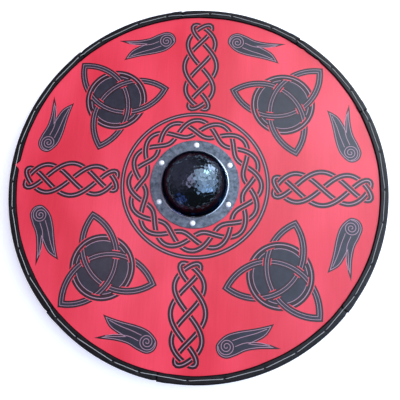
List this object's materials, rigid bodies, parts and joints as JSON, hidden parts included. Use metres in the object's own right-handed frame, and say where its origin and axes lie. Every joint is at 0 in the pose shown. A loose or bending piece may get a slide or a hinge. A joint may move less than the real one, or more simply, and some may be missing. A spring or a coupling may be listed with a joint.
{
  "type": "wooden round shield",
  "caption": "Round wooden shield: flat painted board with a central steel boss, a grip bar across the back and a stitched leather edging folded over the rim.",
  "frame": {"origin": "middle of the grip bar's flat underside, below the boss's centre, where the shield lies face up", "axes": "+Z out of the painted face through the boss, +Y along the grip bar towards the top of the painting, +X to the right seen from the front"},
  "size_m": [0.61, 0.61, 0.0796],
  "materials": {
    "painted_wood": "satin",
    "bare_wood": "matte",
    "black_steel": "gloss",
    "bright_steel": "satin",
    "black_leather": "satin",
    "grey_thread": "matte"
  },
  "bodies": {
    "root": {"board": "painted_wood", "boss": "black_steel", "grip_bar": "bare_wood", "edging_stitching": "grey_thread", "rivet_1": "bright_steel", "rivet_2": "bright_steel", "rivet_3": "bright_steel", "rivet_4": "bright_steel", "rivet_5": "bright_steel", "rivet_6": "bright_steel", "edging_strip_1": "black_leather", "edging_strip_2": "black_leather", "edging_strip_3": "black_leather", "edging_strip_4": "black_leather", "edging_strip_5": "black_leather", "edging_strip_6": "black_leather", "edging_strip_7": "black_leather", "edging_strip_8": "black_leather"}
  },
  "joints": []
}
